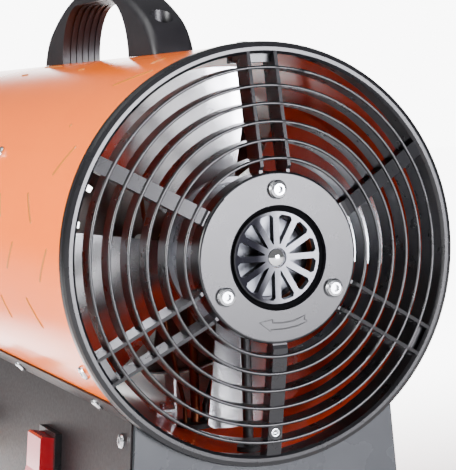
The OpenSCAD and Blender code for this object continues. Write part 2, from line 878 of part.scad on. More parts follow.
module gas_pipe() {
    start_x = -lean_x(pipe_z) + valve_depth - pipe_sink;
    end_y = plate_y - nozzle_len + socket_len - pipe_stub;
    color("peru") on_axis() union() {
        translate([start_x, valve_y, pipe_z]) rotate([0, 90, 0])
            cylinder(r = pipe_r, h = -start_x - pipe_bend, $fn = 48);
        translate([-pipe_bend, valve_y - pipe_bend, pipe_z]) pipe_elbow();
        translate([0, pipe_y + pipe_bend, pipe_z]) rotate([-90, 0, 0])
            cylinder(r = pipe_r, h = valve_y - pipe_y - 2*pipe_bend, $fn = 48);
        translate([0, pipe_y + pipe_bend, pipe_z + pipe_bend]) rotate([90, 0, 90]) rotate([0, 0, 180])
            pipe_elbow();
        translate([0, pipe_y, pipe_z + pipe_bend])
            cylinder(r = pipe_r, h = -pipe_z - 2*pipe_bend, $fn = 48);
        translate([0, pipe_y + pipe_bend, -pipe_bend]) rotate([90, 0, 90]) rotate([0, 0, 90])
            pipe_elbow();
        translate([0, pipe_y + pipe_bend, 0]) rotate([-90, 0, 0])
            cylinder(r = pipe_r, h = end_y - pipe_y - pipe_bend, $fn = 48);
    }
}

module pipe_grommet() {
    color("black") on_axis() difference() {
        for (i = [0, 1]) translate([0, grommet_ys[i], -shell_r - grommet_len/2])
            cylinder(r = grommet_rs[i], h = grommet_len);
        translate([0, pipe_y, -shell_r - grommet_len]) {
            cylinder(r = pipe_r + seat, h = 2*grommet_len, $fn = 48);
            translate([lead_x, 0, 0]) cylinder(r = lead_r + seat, h = 2*grommet_len, $fn = 32);
            translate([-lead_x, 0, 0]) cylinder(r = thermo_lead_r + seat, h = 2*grommet_len, $fn = 32);
        }
        translate([0, cable_y, -shell_r - grommet_len])
            cylinder(r = cable_r + seat, h = 2*grommet_len, $fn = 32);
    }
}

module thermocouple() {
    color("gold") on_axis() clock(thermo_angle) translate([thermo_r, 0, 0]) {
        rod(probe_r, plate_y - probe_tail, plate_y + probe_len);
        translate([0, plate_y - probe_nut_len, 0]) rotate([-90, 0, 0])
            cylinder(r = probe_nut_r, h = probe_nut_len, $fn = 6);
    }
}

module thermocouple_lead() {
    x = thermo_r*cos(thermo_angle);
    z = thermo_r*sin(thermo_angle);
    color("peru") on_axis() route([[x, plate_y - probe_tail - thermo_lead_r - seat, z],
        [x, pipe_y + lead_bend, z], [-lead_side, pipe_y + lead_x, 0], [-lead_x, pipe_y, -shell_r + lead_bend],
        [-lead_x, pipe_y, -shell_r - lead_bend], [-lead_x - pipe_r, pipe_y + lead_bend, pipe_z + lead_over],
        [-lead_side, valve_y - lead_side, pipe_z + lead_over],
        panel_point(valve_y - lead_x, button_z, valve_depth + thermo_lead_r + seat)], thermo_lead_r);
}

module igniter_electrode() {
    color("ivory") on_axis() clock(spark_angle) translate([spark_r, 0, 0]) {
        rod(ceramic_r, plate_y - ceramic_len, plate_y + ceramic_len);
        rod(spark_rod_r, plate_y - spark_tail, plate_y + spark_len);
        translate([0, plate_y - spark_nut_len, 0]) rotate([-90, 0, 0])
            cylinder(r = spark_nut_r, h = spark_nut_len, $fn = 6);
    }
}

module igniter_lead() {
    x = spark_r*cos(spark_angle);
    z = spark_r*sin(spark_angle);
    color("dimgray") on_axis() route([[x, plate_y - spark_tail - lead_r - seat, z], [x, pipe_y + pipe_r, z],
        [lead_side, pipe_y, -shell_r/2], [lead_x, pipe_y, -shell_r + lead_bend],
        [lead_x, pipe_y, -shell_r - lead_bend], [lead_x + pipe_r, pipe_y + lead_side, pipe_z - lead_under],
        [-lead_bend, piezo_y - lead_bend, pipe_z - lead_under],
        panel_point(piezo_y, button_z, piezo_depth + lead_r + seat)], lead_r);
}

module outlet_guard() {
    rod_y = shell_front - shell_t - seat - wire_r;
    ring_y = rod_y - wire_lap*wire_r;
    color("dimgray") on_axis() union() {
        for (i = [1 : wire_ring_count]) translate([0, ring_y, 0]) rotate([-90, 0, 0])
            rotate_extrude() translate([i*wire_pitch, 0]) circle(r = wire_r, $fn = 24);
        rod(wire_hub_r, rod_y - wire_r/2, rod_y + wire_r/2);
        for (i = [0 : wire_rod_count - 1]) clock(i*360/wire_rod_count)
            translate([wire_hub_r/2, rod_y, 0]) rotate([0, 90, 0])
                cylinder(r = wire_r, h = shell_in_r - wire_hub_r/2 - 2*seat, $fn = 24);
    }
}

// Thick disc with a rounded rim, lying across the handle
module rounded_disc(r) {
    rotate([0, 90, 0]) rotate_extrude() union() {
        translate([0, -handle_w/2]) square([r - handle_edge_r, handle_w]);
        translate([0, -handle_w/2 + handle_edge_r]) square([r, handle_w - 2*handle_edge_r]);
        for (s = [-1, 1]) translate([r - handle_edge_r, s*(handle_w/2 - handle_edge_r)])
            circle(r = handle_edge_r, $fn = 48);
    }
}

// Outline in the plane along the shell, given a thickness across it
module across(w) {
    translate([-w/2, 0, 0]) rotate([90, 0, 90]) linear_extrude(w) children();
}

// Hand opening of the handle, grown by a margin
module hand_opening(grow) {
    flat = hand_len/2 - hand_corner_r;
    top = hand_top_z - hand_corner_r;
    for (s = [-1, 1]) translate([s*flat, top]) circle(r = hand_corner_r + grow);
    translate([-flat, 0]) square([2*flat, hand_top_z + grow]);
    translate([-hand_len/2 - grow, 0]) square([hand_len + 2*grow, top]);
}

module handle() {
    slope = atan2(arch_corner_z - arch_c_z, arch_corner_y);
    far = 2*arch_r;
    color("#252529") on_axis() translate([0, handle_y, 0]) difference() {
        union() {
            intersection() {
                translate([0, 0, arch_c_z]) rounded_disc(arch_r);
                across(handle_w) polygon([[0, arch_c_z], [far*cos(slope), arch_c_z + far*sin(slope)],
                    [-far*cos(slope), arch_c_z + far*sin(slope)]]);
            }
            for (s = [-1, 1]) translate([0, s*arch_corner_y, arch_corner_z]) rounded_disc(arch_corner_r);
        }
        across(handle_w + 2*cut) hand_opening(0);
        for (i = [0 : groove_count - 1]) translate([(i - (groove_count - 1)/2)*groove_pitch, 0, 0])
            across(groove_w) hand_opening(groove_depth);
        translate([0, -handle_len, 0]) rod(seat_r, 0, 2*handle_len);
        for (s = [-1, 1]) translate([0, s*handle_screw_pitch/2, 0]) {
            translate([0, 0, shell_r + well_floor]) cylinder(r = well_r, h = handle_h);
            cylinder(r = handle_shank_r + seat, h = arch_top_z);
        }
    }
}

module handle_screws() {
    color("silver") on_axis() for (s = [-1, 1]) translate([0, handle_y + s*handle_screw_pitch/2, 0]) {
        translate([0, 0, shell_r + well_floor])
            screw(handle_shank_r, well_floor + shell_t + 2*handle_nut_h, handle_head_r, handle_head_h);
        translate([0, 0, shell_in_r - 2*seat - handle_nut_h]) difference() {
            cylinder(r = handle_nut_r, h = handle_nut_h, $fn = 6);
            translate([0, 0, -cut]) cylinder(r = handle_shank_r + seat, h = handle_nut_h + 2*cut, $fn = 48);
        }
    }
}

// Half width of the base at a height
function lean_x(z) = top_x + (top_z - z)*tan(base_lean);

// Point behind the left panel at a depth square to it
function panel_point(y, z, depth) =
    [-lean_x(z) + depth*cos(base_lean), y, z - depth*sin(base_lean)];

// Local frame on the left panel: X up the panel, Y along it, Z out of it
module on_panel(y, z) {
    translate([-lean_x(z), y, z]) rotate([0, base_lean - 90, 0]) children();
}

// Cross section of the base between two heights, set in from the panels
module base_section(inset, z0, z1) {
    polygon([[-lean_x(z0) + inset, z0], [lean_x(z0) - inset, z0],
        [lean_x(z1) - inset, z1], [-lean_x(z1) + inset, z1]]);
}

// Section of the right side sheet: leaning wall and flange along the shell
module side_profile() {
    wedge = 2*shell_r;
    difference() {
        intersection() {
            base_section(0, pan_z, top_z);
            translate([0, pan_z]) square([wedge, wedge]);
        }
        base_section(base_t/cos(base_lean), pan_z - cut, top_z + cut);
        circle(r = seat_r);
    }
    intersection() {
        difference() {
            circle(r = seat_r + base_t);
            circle(r = seat_r);
        }
        polygon([[0, 0], [wedge*cos(panel_angle + fold_turn), -wedge*sin(panel_angle + fold_turn)],
            [wedge*cos(panel_angle - flange_angle), -wedge*sin(panel_angle - flange_angle)]]);
    }
}

// Right side sheet with the holes of its screws
module side_sheet() {
    difference() {
        slab(base_back, base_front) side_profile();
        for (y = flange_screw_ys) radial(-flange_screw_angle, seat_r - cut, y)
            cylinder(r = screw_hole_r, h = base_t + 2*cut);
        mirror([1, 0, 0]) side_screw_places() translate([0, 0, -panel_cut/2])
            cylinder(r = screw_hole_r, h = panel_cut);
    }
}

// Places of the screws that hold one side sheet to the end plates
module side_screw_places() {
    for (y = side_screw_ys, drop = side_screw_drops)
        on_panel(y, top_z - drop) children();
}

module control_panel() {
    hole_in = bezel_plate - seat;
    color("#4a4044") on_axis() difference() {
        mirror([1, 0, 0]) side_sheet();
        on_panel(switch_y, switch_z)
            translate([hole_in - bezel_h/2, hole_in - bezel_l/2, -panel_cut/2])
                cube([bezel_h - 2*hole_in, bezel_l - 2*hole_in, panel_cut]);
        on_panel(valve_y, button_z) translate([0, 0, -panel_cut/2])
            cylinder(r = valve_button_r + button_gap + collar_t + seat, h = panel_cut);
        on_panel(piezo_y, button_z) translate([0, 0, -panel_cut/2])
            cylinder(r = piezo_button_r + button_gap + collar_t + seat, h = panel_cut);
        on_panel(valve_y, inlet_z) translate([0, 0, -panel_cut/2])
            cylinder(r = inlet_neck_r + seat, h = panel_cut);
    }
}

module right_panel() {
    color("#4a4044") on_axis() side_sheet();
}

// End plate of the base, folded forwards from a place by a direction of +1 or -1
module end_plate(y, dir) {
    inset = base_t/cos(base_lean) + seat;
    bottom = pan_z + base_t;
    high = plate_top_z;
    y_face = min(y, y + dir*base_t);
    y_flange = min(y, y + dir*plate_flange);
    difference() {
        union() {
            slab(y_face, y_face + base_t) base_section(inset, bottom, high);
            slab(y_flange, y_flange + plate_flange) difference() {
                base_section(inset, bottom, high);
                base_section(inset + base_t, bottom + base_t, high + cut);
            }
        }
        rod(seat_r, y - 2*plate_flange, y + 2*plate_flange);
        for (s = [0, 1]) mirror([s, 0, 0]) side_screw_places() translate([0, 0, -panel_cut])
            cylinder(r = screw_hole_r, h = panel_cut + base_t);
    }
}

module rear_plate() {
    color("darkgray") on_axis() difference() {
        end_plate(base_back - plate_set, 1);
        translate([gland_x, 0, gland_z]) rod(gland_r + seat, base_back - plate_set - cut, base_back);
    }
}

module front_plate() {
    color("darkgray") on_axis() end_plate(base_front + plate_set, -1);
}

module base_tray() {
    inset = base_t/cos(base_lean) + seat;
    y0 = base_back - plate_set;
    y1 = base_front + plate_set;
    color("dimgray") on_axis() difference() {
        union() {
            slab(y0, y1) base_section(inset, pan_z, pan_z + base_t);
            slab(y0 + plate_flange + 1, y1 - plate_flange - 1) difference() {
                base_section(inset, pan_z, pan_z + tray_flange);
                base_section(inset + base_t, pan_z + base_t, pan_z + tray_flange + cut);
            }
        }
        foot_places() translate([0, 0, -cut]) cylinder(r = screw_hole_r, h = base_t + 2*cut);
    }
}

// Places of the four feet under the tray
module foot_places() {
    x = lean_x(pan_z) - foot_inset_x;
    for (sx = [-1, 1], y = [base_back + foot_inset_y, base_front - foot_inset_y])
        translate([sx*x, y, pan_z]) children();
}

module rubber_feet() {
    sink = foot_h*foot_sink_share;
    color("black") on_axis() foot_places() rotate([180, 0, 0]) rotate_extrude() polygon([
        [screw_hole_r, 0], [foot_r, 0], [foot_r*foot_taper_share, foot_h], [screw_head_r + foot_gap, foot_h],
        [screw_head_r + foot_gap, foot_h - sink], [screw_hole_r, foot_h - sink]]);
}

module foot_screws() {
    sink = foot_h*foot_sink_share;
    color("silver") on_axis() foot_places() translate([0, 0, -foot_h + sink]) rotate([180, 0, 0])
        screw(screw_r, foot_h - sink + base_t + screw_r, screw_head_r, screw_head_h);
}

module panel_screws() {
    color("silver") on_axis() {
        for (y = flange_screw_ys, a = [-flange_screw_angle, 180 + flange_screw_angle])
            radial(a, seat_r + base_t, y)
                screw(screw_r, screw_len*panel_screw_share, screw_head_r, screw_head_h);
        for (s = [0, 1]) mirror([s, 0, 0]) side_screw_places()
            screw(screw_r, screw_len*panel_screw_share, screw_head_r, screw_head_h);
    }
}

module switch_body() {
    h = bezel_h - 2*bezel_wall;
    l = bezel_l - 2*bezel_wall;
    color("#1c1c1f") on_axis() on_panel(switch_y, switch_z) difference() {
        union() {
            translate([-bezel_h/2, -bezel_l/2, seat]) cube([bezel_h, bezel_l, bezel_t - seat]);
            translate([-bezel_h/2 + bezel_plate, -bezel_l/2 + bezel_plate, -switch_depth])
                cube([bezel_h - 2*bezel_plate, bezel_l - 2*bezel_plate, switch_depth + bezel_t/2]);
        }
        translate([-h/2, -l/2, switch_wall - switch_depth]) cube([h, l, switch_depth + bezel_t]);
        translate([0, bezel_l/2 - bezel_wall - cut, pivot_z]) rotate([-90, 0, 0])
            cylinder(r = pin_r + run_gap, h = cut + pin_set + seat, $fn = 32);
        translate([0, -bezel_l/2 + bezel_wall + cut, pivot_z]) rotate([90, 0, 0])
            cylinder(r = pin_r + run_gap, h = cut + pin_set + seat, $fn = 32);
    }
}

module switch_rocker() {
    a = bezel_h/2 - bezel_wall - rocker_end_gap;
    w = bezel_l - 2*bezel_wall - 2*rocker_gap;
    high = bezel_t + rocker_rise - pivot_z;
    color("crimson") on_axis() on_panel(switch_y, switch_z)
        translate([0, 0, pivot_z]) rotate([0, rocker_tilt, 0]) union() {
            translate([0, w/2, 0]) rotate([90, 0, 0]) linear_extrude(w) polygon([[-a, -rocker_heel],
                [a, -rocker_heel], [a, high - rocker_round], [a - rocker_round, high],
                [0, high - rocker_dish], [rocker_round - a, high], [-a, high - rocker_round]]);
            translate([0, w/2 + rocker_gap + pin_set, 0]) rotate([90, 0, 0])
                cylinder(r = pin_r, h = w + 2*rocker_gap + 2*pin_set, $fn = 32);
        }
}

module gas_valve_body() {
    drop = (button_z - inlet_z)/cos(base_lean);
    collar_r = valve_button_r + button_gap + collar_t;
    sink = button_sink + valve_travel + button_gap;
    color("goldenrod") on_axis() difference() {
        on_panel(valve_y, button_z) difference() {
            union() {
                translate([-drop - valve_w/2, -valve_w/2, -valve_depth])
                    cube([drop + valve_w, valve_w, valve_depth - valve_back]);
                translate([0, 0, -valve_back - cut])
                    cylinder(r = collar_r, h = valve_back + collar_out + cut);
            }
            translate([0, 0, -sink]) cylinder(r = valve_button_r + button_gap, h = sink + collar_out + cut);
            translate([0, 0, -sink - stem_hole])
                cylinder(r = stem_r + button_gap, h = stem_hole + cut, $fn = 48);
        }
        translate([-lean_x(pipe_z) + valve_depth - pipe_sink - pipe_stub, valve_y, pipe_z]) rotate([0, 90, 0])
            cylinder(r = pipe_r + pipe_gap, h = valve_depth, $fn = 48);
    }
}

module gas_inlet() {
    hex_h = valve_back - base_t - seat;
    color("goldenrod") on_axis() on_panel(valve_y, inlet_z) difference() {
        union() {
            translate([0, 0, -valve_back]) cylinder(r = inlet_neck_r, h = valve_back + inlet_flange/2);
            translate([0, 0, -valve_back]) cylinder(r = inlet_hex_r, h = hex_h, $fn = 6);
            translate([0, 0, seat]) cylinder(r = inlet_hex_r, h = inlet_flange - seat, $fn = 6);
            translate([0, 0, inlet_flange/2]) cylinder(r = inlet_r, h = inlet_flange/2 + inlet_len);
        }
        translate([0, 0, cut - valve_back])
            cylinder(r = inlet_bore_r, h = valve_back + inlet_flange + inlet_len);
    }
}

// Push button with a rounded cap, reaching a depth behind the panel
module push_button(r, sink, out) {
    rotate_extrude() polygon([[0, -sink], [r, -sink], [r, out - button_round],
        [r - button_round/3, out - button_round/3], [r - button_round, out], [0, out]]);
}

module valve_button() {
    color("red") on_axis() on_panel(valve_y, button_z) union() {
        push_button(valve_button_r, button_sink, button_out + collar_out/2);
        translate([0, 0, seat - button_sink - stem_len]) cylinder(r = stem_r, h = stem_len, $fn = 48);
    }
}

module piezo_body() {
    collar_r = piezo_button_r + button_gap + collar_t;
    sink = button_sink + piezo_travel + button_gap;
    color("#1c1c1f") on_axis() on_panel(piezo_y, button_z) difference() {
        union() {
            translate([0, 0, -piezo_depth]) cylinder(r = collar_r, h = piezo_depth + collar_out/2);
            translate([0, 0, seat]) cylinder(r = collar_r + collar_t, h = collar_out/2);
        }
        translate([0, 0, -sink]) cylinder(r = piezo_button_r + button_gap, h = sink + collar_out);
    }
}

module piezo_button() {
    color("black") on_axis() on_panel(piezo_y, button_z)
        push_button(piezo_button_r, button_sink, button_out + collar_out/2);
}

module terminal_block() {
    color("white") on_axis() translate([block_x - block_l/2, block_y - block_w/2, pan_z + base_t])
        difference() {
            cube([block_l, block_w, block_h]);
            for (i = [0 : pole_count - 1]) translate([block_l*(i + 1/2)/pole_count, block_w/2, block_h/2])
                cylinder(r = pole_r, h = block_h, $fn = 32);
        }
}

module motor_cable() {
    top = pan_z + base_t + block_h;
    y0 = block_y - block_w/2 + cable_r;
    color("black") on_axis() route([[block_x, y0, top + cable_r + seat], [block_x, y0, top + lead_bend],
        [cable_r + pipe_r, cable_y + lead_over, -shell_r - lead_side],
        [0, cable_y, -shell_r - lead_bend], [0, cable_y, -can_r - cable_r - seat]], cable_r);
}

module cable_gland() {
    y0 = base_back - plate_set;
    color("black") on_axis() translate([gland_x, 0, gland_z]) difference() {
        union() {
            rod(gland_r, y0 - gland_hex_len, y0 + base_t + gland_len);
            translate([0, y0 - gland_hex_len, 0]) rotate([-90, 0, 0])
                cylinder(r = gland_hex_r, h = gland_hex_len, $fn = 6);
            translate([0, y0 + base_t, 0]) rotate([-90, 0, 0])
                cylinder(r = gland_hex_r, h = gland_nut_len, $fn = 6);
            spun([[0, y0 - gland_out], [gland_tip_r, y0 - gland_out],
                [gland_cap_r, y0 - gland_out + gland_round], [gland_cap_r, y0 - gland_hex_len],
                [0, y0 - gland_hex_len]]);
        }
        rod(gland_bore_r, y0 - gland_out - cut, y0 + base_t + gland_len + cut);
    }
}

outer_shell();
inlet_guard();
guard_screws();
motor_screws();
motor_rear_bell();
bearing_cap();
rear_bush();
motor_can();
stator_core();
stator_windings();
motor_front_bell();
front_bush();
rotor_core();
motor_shaft();
fan_hub();
fan_blades();
fan_nut();
flame_tube();
tube_brackets();
tube_screws();
burner_plate();
burner_cup();
gas_nozzle();
gas_pipe();
pipe_grommet();
thermocouple();
thermocouple_lead();
igniter_electrode();
igniter_lead();
outlet_guard();
handle();
handle_screws();
control_panel();
right_panel();
rear_plate();
front_plate();
base_tray();
rubber_feet();
foot_screws();
panel_screws();
switch_body();
switch_rocker();
gas_valve_body();
gas_inlet();
valve_button();
piezo_body();
piezo_button();
terminal_block();
motor_cable();
cable_gland();
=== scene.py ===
import math
import bmesh
import bpy
from mathutils import Matrix, Vector
from mathutils.bvhtree import BVHTree


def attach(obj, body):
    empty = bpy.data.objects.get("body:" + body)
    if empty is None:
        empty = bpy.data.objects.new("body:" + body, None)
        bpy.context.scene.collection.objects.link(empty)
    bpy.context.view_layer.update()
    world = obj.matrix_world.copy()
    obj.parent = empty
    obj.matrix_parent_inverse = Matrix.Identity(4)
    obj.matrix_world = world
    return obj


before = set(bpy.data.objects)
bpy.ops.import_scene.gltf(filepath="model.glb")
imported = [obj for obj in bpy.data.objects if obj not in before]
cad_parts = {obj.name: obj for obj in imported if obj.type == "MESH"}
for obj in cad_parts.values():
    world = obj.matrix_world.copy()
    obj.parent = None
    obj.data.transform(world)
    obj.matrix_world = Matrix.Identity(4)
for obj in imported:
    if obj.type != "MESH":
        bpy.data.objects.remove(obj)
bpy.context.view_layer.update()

# The heater is built round one line, the shell's own axis. Marks and beads are placed from the point
# where that line meets the front of the guard's outermost ring, with X to the right seen from
# behind, Y with the air and Z up.
AXIS = Vector((0.0, -0.242297, 0.198015))

# The camera stands behind the heater on its left, a little above the axis, as in the photograph.
# Its place, turn, tilt, roll and focal length were solved from the guard's rings.
SENSOR_MM = 36.0
FOCAL_IN_PIXELS = 1598.0
FRAME_IN_PIXELS = 470.0
TURN_DEG, TILT_DEG, ROLL_DEG = -23.27, 4.89, -1.97
CAMERA_FROM_AXIS = Vector((-0.37108, -0.80481, 0.08852))
camera_data = bpy.data.cameras.new("camera")
camera_data.sensor_width = SENSOR_MM
camera_data.lens = FOCAL_IN_PIXELS*SENSOR_MM/FRAME_IN_PIXELS
camera_data.clip_start = 0.01
camera = bpy.data.objects.new("camera", camera_data)
bpy.context.collection.objects.link(camera)
turn, tilt, roll = math.radians(TURN_DEG), math.radians(TILT_DEG), math.radians(ROLL_DEG)
back = Vector((math.sin(turn)*math.cos(tilt), -math.cos(turn)*math.cos(tilt), math.sin(tilt)))
right = Vector((0, 0, 1)).cross(back).normalized()
above = back.cross(right)
right, above = right*math.cos(roll) + above*math.sin(roll), above*math.cos(roll) - right*math.sin(roll)
camera.matrix_world = Matrix((right, above, back)).transposed().to_4x4()
camera.matrix_world.translation = AXIS + CAMERA_FROM_AXIS
bpy.context.scene.camera = camera


# Backdrop: a white sheet that glows behind the heater and falls off to a dim room, so that the black
# mouldings stay black and the shell turns pale only near its upper edge. The glow is set by the
# cosine between a direction and the line from the camera past the heater.
def linear(code):
    """sRGB hex to the linear colour that shaders use."""
    parts = [int(code[i:i + 2], 16)/255 for i in (1, 3, 5)]
    return tuple(c/12.92 if c <= 0.04045 else ((c + 0.055)/1.055)**2.4 for c in parts) + (1.0,)


def add(tree, kind, inputs=None, **settings):
    """Adds a node, sets its properties, and sets or links its inputs."""
    made = tree.nodes.new("ShaderNode" + kind)
    for name, value in settings.items():
        setattr(made, name, value)
    for name, value in (inputs or {}).items():
        if isinstance(value, bpy.types.NodeSocket):
            tree.links.new(value, made.inputs[name])
        else:
            made.inputs[name].default_value = value
    return made


BEHIND_HEATER = (0.394, 0.915, -0.085)
SHEET_EDGE_COS, SHEET_CORE_COS = 0.925, 0.978
ROOM_GLOW, SHEET_GLOW = 0.20, 9.0
world = bpy.data.worlds.new("white_backdrop")
world.use_nodes = True
sky = world.node_tree
facing = add(sky, "VectorMath", {0: add(sky, "TexCoord").outputs["Generated"], 1: BEHIND_HEATER},
             operation="DOT_PRODUCT").outputs["Value"]
glow = add(sky, "MapRange", {"Value": facing, "From Min": SHEET_EDGE_COS, "From Max": SHEET_CORE_COS,
                             "To Min": ROOM_GLOW, "To Max": SHEET_GLOW},
           interpolation_type="SMOOTHSTEP").outputs["Result"]
sky.nodes["Background"].inputs["Color"].default_value = linear("#ffffff")
sky.links.new(glow, sky.nodes["Background"].inputs["Strength"])
bpy.context.scene.world = world


# Lamps: a softbox behind the camera on its right, which shows in the flat fronts of the guard, one on
# the left that fills the shell, and a weaker one overhead.
def softbox(name, centre, aim, width, height, watts, tint="#ffffff"):
    """Rectangular lamp of a size in metres that faces a point."""
    data = bpy.data.lights.new(name, "AREA")
    data.shape = "RECTANGLE"
    data.size, data.size_y = width, height
    data.energy = watts
    data.color = linear(tint)[:3]
    lamp = bpy.data.objects.new(name, data)
    lamp.location = centre
    lamp.rotation_euler = (Vector(centre) - Vector(aim)).to_track_quat("Z", "Y").to_euler()
    lamp.visible_camera = False
    bpy.context.collection.objects.link(lamp)


MID_HEATER = (0.0, 0.0, 0.2)
MID_GUARD = (0.0, -0.25, 0.2)
softbox("softbox_behind_camera", centre=(0.53, -2.0, 0.26), aim=MID_GUARD, width=1.03, height=0.95,
        watts=125, tint="#f7f6ff")
softbox("softbox_left", centre=(-2.1, -0.7, 0.7), aim=MID_HEATER, width=1.0, height=1.0, watts=105)
softbox("softbox_above", centre=(-0.9, 0.1, 1.9), aim=MID_HEATER, width=1.6, height=1.6, watts=30)


# Floor: a pale paper sweep. Behind the heater the paper itself glows, painted light in a wedge where
# the camera sees it, and it fades to plain paper near the feet and beside the wedge.
MM = 0.001
CLOUD_LOW, CLOUD_HIGH = 0.3, 0.7  # where nearly all of Blender's noise lies
CLEAR_COAT_ROUGH = 0.04


def finish(name, low, high, rough, metal=0.0, grain=3.0, spread=0.06, bump=0.0, bump_grain=0.6, coat=0.0,
           specular=0.5):
    """Base of every material: colour that drifts between two tones over a grain in mm, roughness
    that drifts by a spread about its value, and a fine relief of a depth and a grain in mm, drawn
    coarser than the real one where that is too fine to show."""
    made = bpy.data.materials.new(name)
    made.use_nodes = True
    tree = made.node_tree
    shader = tree.nodes["Principled BSDF"]
    shader.inputs["Metallic"].default_value = metal
    shader.inputs["Specular IOR Level"].default_value = specular
    where = add(tree, "TexCoord").outputs["Object"]
    cloud = add(tree, "TexNoise", {"Vector": where, "Scale": 1/(grain*MM), "Detail": 5.0}).outputs["Fac"]
    tone = add(tree, "Mix", {"Factor": cloud}, data_type="RGBA")
    tone.inputs["A"].default_value, tone.inputs["B"].default_value = linear(low), linear(high)
    tree.links.new(tone.outputs["Result"], shader.inputs["Base Color"])
    worn = add(tree, "MapRange", {"Value": cloud, "From Min": CLOUD_LOW, "From Max": CLOUD_HIGH,
                                  "To Min": rough - spread, "To Max": rough + spread})
    tree.links.new(worn.outputs["Result"], shader.inputs["Roughness"])
    if bump:
        fine = add(tree, "TexNoise", {"Vector": where, "Scale": 1/(bump_grain*MM), "Detail": 3.0})
        relief = add(tree, "Bump", {"Height": fine.outputs["Fac"], "Distance": bump*MM, "Strength": 0.6})
        tree.links.new(relief.outputs["Normal"], shader.inputs["Normal"])
    if coat:
        shader.inputs["Coat Weight"].default_value = coat
        shader.inputs["Coat Roughness"].default_value = CLEAR_COAT_ROUGH
    return made


def dress(names, material):
    """Gives CAD nodes or a new piece their material."""
    for name in names if isinstance(names, list) else [names]:
        data = (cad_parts[name] if isinstance(name, str) else name).data
        data.materials.clear()
        data.materials.append(material)


FLOOR_HALF = 6.0
GLOW_NEAR_Y, GLOW_FAR_Y, PAPER_GLOW = -0.3, 0.5, 8.0
WEDGE_SIDE = (1.0, -0.268, 0.0)
WEDGE_EDGE, WEDGE_CORE = -0.35, -0.15
floor_corners = [(x*FLOOR_HALF, y*FLOOR_HALF, 0.0) for x, y in ((-1, -1), (1, -1), (1, 1), (-1, 1))]
floor_mesh = bpy.data.meshes.new("floor")
floor_mesh.from_pydata(floor_corners, [], [(0, 1, 2, 3)])
floor = bpy.data.objects.new("floor", floor_mesh)
bpy.context.collection.objects.link(floor)
# Painted light: the paper's own emission makes the glowing wedge.
glowing_paper = finish("pale_paper_painted_glow", "#f4f3f2", "#fbfafa", 0.62, grain=900, spread=0.02)
tree = glowing_paper.node_tree
spot = add(tree, "TexCoord").outputs["Object"]
along = add(tree, "SeparateXYZ", {"Vector": spot}).outputs["Y"]
beside = add(tree, "VectorMath", {0: spot, 1: WEDGE_SIDE}, operation="DOT_PRODUCT").outputs["Value"]
far = add(tree, "MapRange", {"Value": along, "From Min": GLOW_NEAR_Y, "From Max": GLOW_FAR_Y,
                             "To Min": 0.0, "To Max": PAPER_GLOW},
          interpolation_type="SMOOTHSTEP").outputs["Result"]
wedge = add(tree, "MapRange", {"Value": beside, "From Min": WEDGE_EDGE, "From Max": WEDGE_CORE},
            interpolation_type="SMOOTHSTEP").outputs["Result"]
painted_glow = add(tree, "Math", {0: far, 1: wedge}, operation="MULTIPLY").outputs["Value"]
tree.nodes["Principled BSDF"].inputs["Emission Color"].default_value = linear("#ffffff")
tree.links.new(painted_glow, tree.nodes["Principled BSDF"].inputs["Emission Strength"])
dress(floor, glowing_paper)


# Shell: one rolled sheet of 1 mm steel, powder coated gloss orange. The baked coat gives a deep even
# colour under a smooth gloss, with the faint ripple of a thick coat. The inside is coloured redder and
# darker, painted shade that stands in for the shade and red interreflection within the shell.
def from_axis(tree):
    """Distance in metres from the heater's axis to the point that is shaded."""
    flat = add(tree, "VectorMath", {0: add(tree, "TexCoord").outputs["Object"], 1: (1.0, 0.0, 1.0)},
               operation="MULTIPLY").outputs["Vector"]
    return add(tree, "VectorMath", {0: flat, 1: (0.0, 0.0, AXIS.z)}, operation="DISTANCE").outputs["Value"]


def over(material, factor, code):
    """Lays a colour over a material's own tone where the factor is one."""
    tree = material.node_tree
    shader = tree.nodes["Principled BSDF"]
    tone = shader.inputs["Base Color"].links[0].from_socket
    both = add(tree, "Mix", {"Factor": factor, 6: tone, 7: linear(code)}, data_type="RGBA")
    tree.links.new(both.outputs[2], shader.inputs["Base Color"])


SHELL_R = 0.118
INNER_SHADE_FULL_R, INNER_SHADE_END_R = SHELL_R - 0.8*MM, SHELL_R - 0.2*MM
orange = finish("orange_gloss_powder_coat", "#fd6a00", "#ff7200", 0.17, grain=60, spread=0.02,
                bump=0.02, bump_grain=5.0, coat=0.05, specular=0.17)
# Painted shade: this mask darkens the shell's inside face.
inner_painted_shade = add(orange.node_tree, "MapRange", {"Value": from_axis(orange.node_tree),
                                            "From Min": INNER_SHADE_FULL_R, "From Max": INNER_SHADE_END_R,
                                            "To Min": 1.0, "To Max": 0.0}).outputs["Result"]
over(orange, inner_painted_shade, "#d63c10")
dress("outer_shell", orange)


# Pressed beads: short raised dashes, rolled into the sheet before it is bent round. Each is 2.5 mm
# wide and about half a millimetre high, with rounded ends and its edges sunk into the shell. They are
# coloured a darker orange, painted shade that stands in for the shadow along their flanks.
def piece(name, points, faces, material):
    """Smooth mesh piece in the heater's own frame, fixed to the frame."""
    data = bpy.data.meshes.new(name)
    data.from_pydata([tuple(p) for p in points], [], faces)
    data.update()
    made = bpy.data.objects.new(name, data)
    bpy.context.collection.objects.link(made)
    turned_out = bmesh.new()
    turned_out.from_mesh(data)
    bmesh.ops.recalc_face_normals(turned_out, faces=turned_out.faces)
    turned_out.to_mesh(data)
    turned_out.free()
    for polygon in data.polygons:
        polygon.use_smooth = True
    dress(made, material)
    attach(made, "frame")


def on_shell(y, angle, lift):
    """Point over the shell: distance along it in mm, angle seen from behind, and height in mm."""
    turn = math.radians(angle)
    reach = SHELL_R + lift*MM
    return AXIS + Vector((reach*math.cos(turn), y*MM, reach*math.sin(turn)))


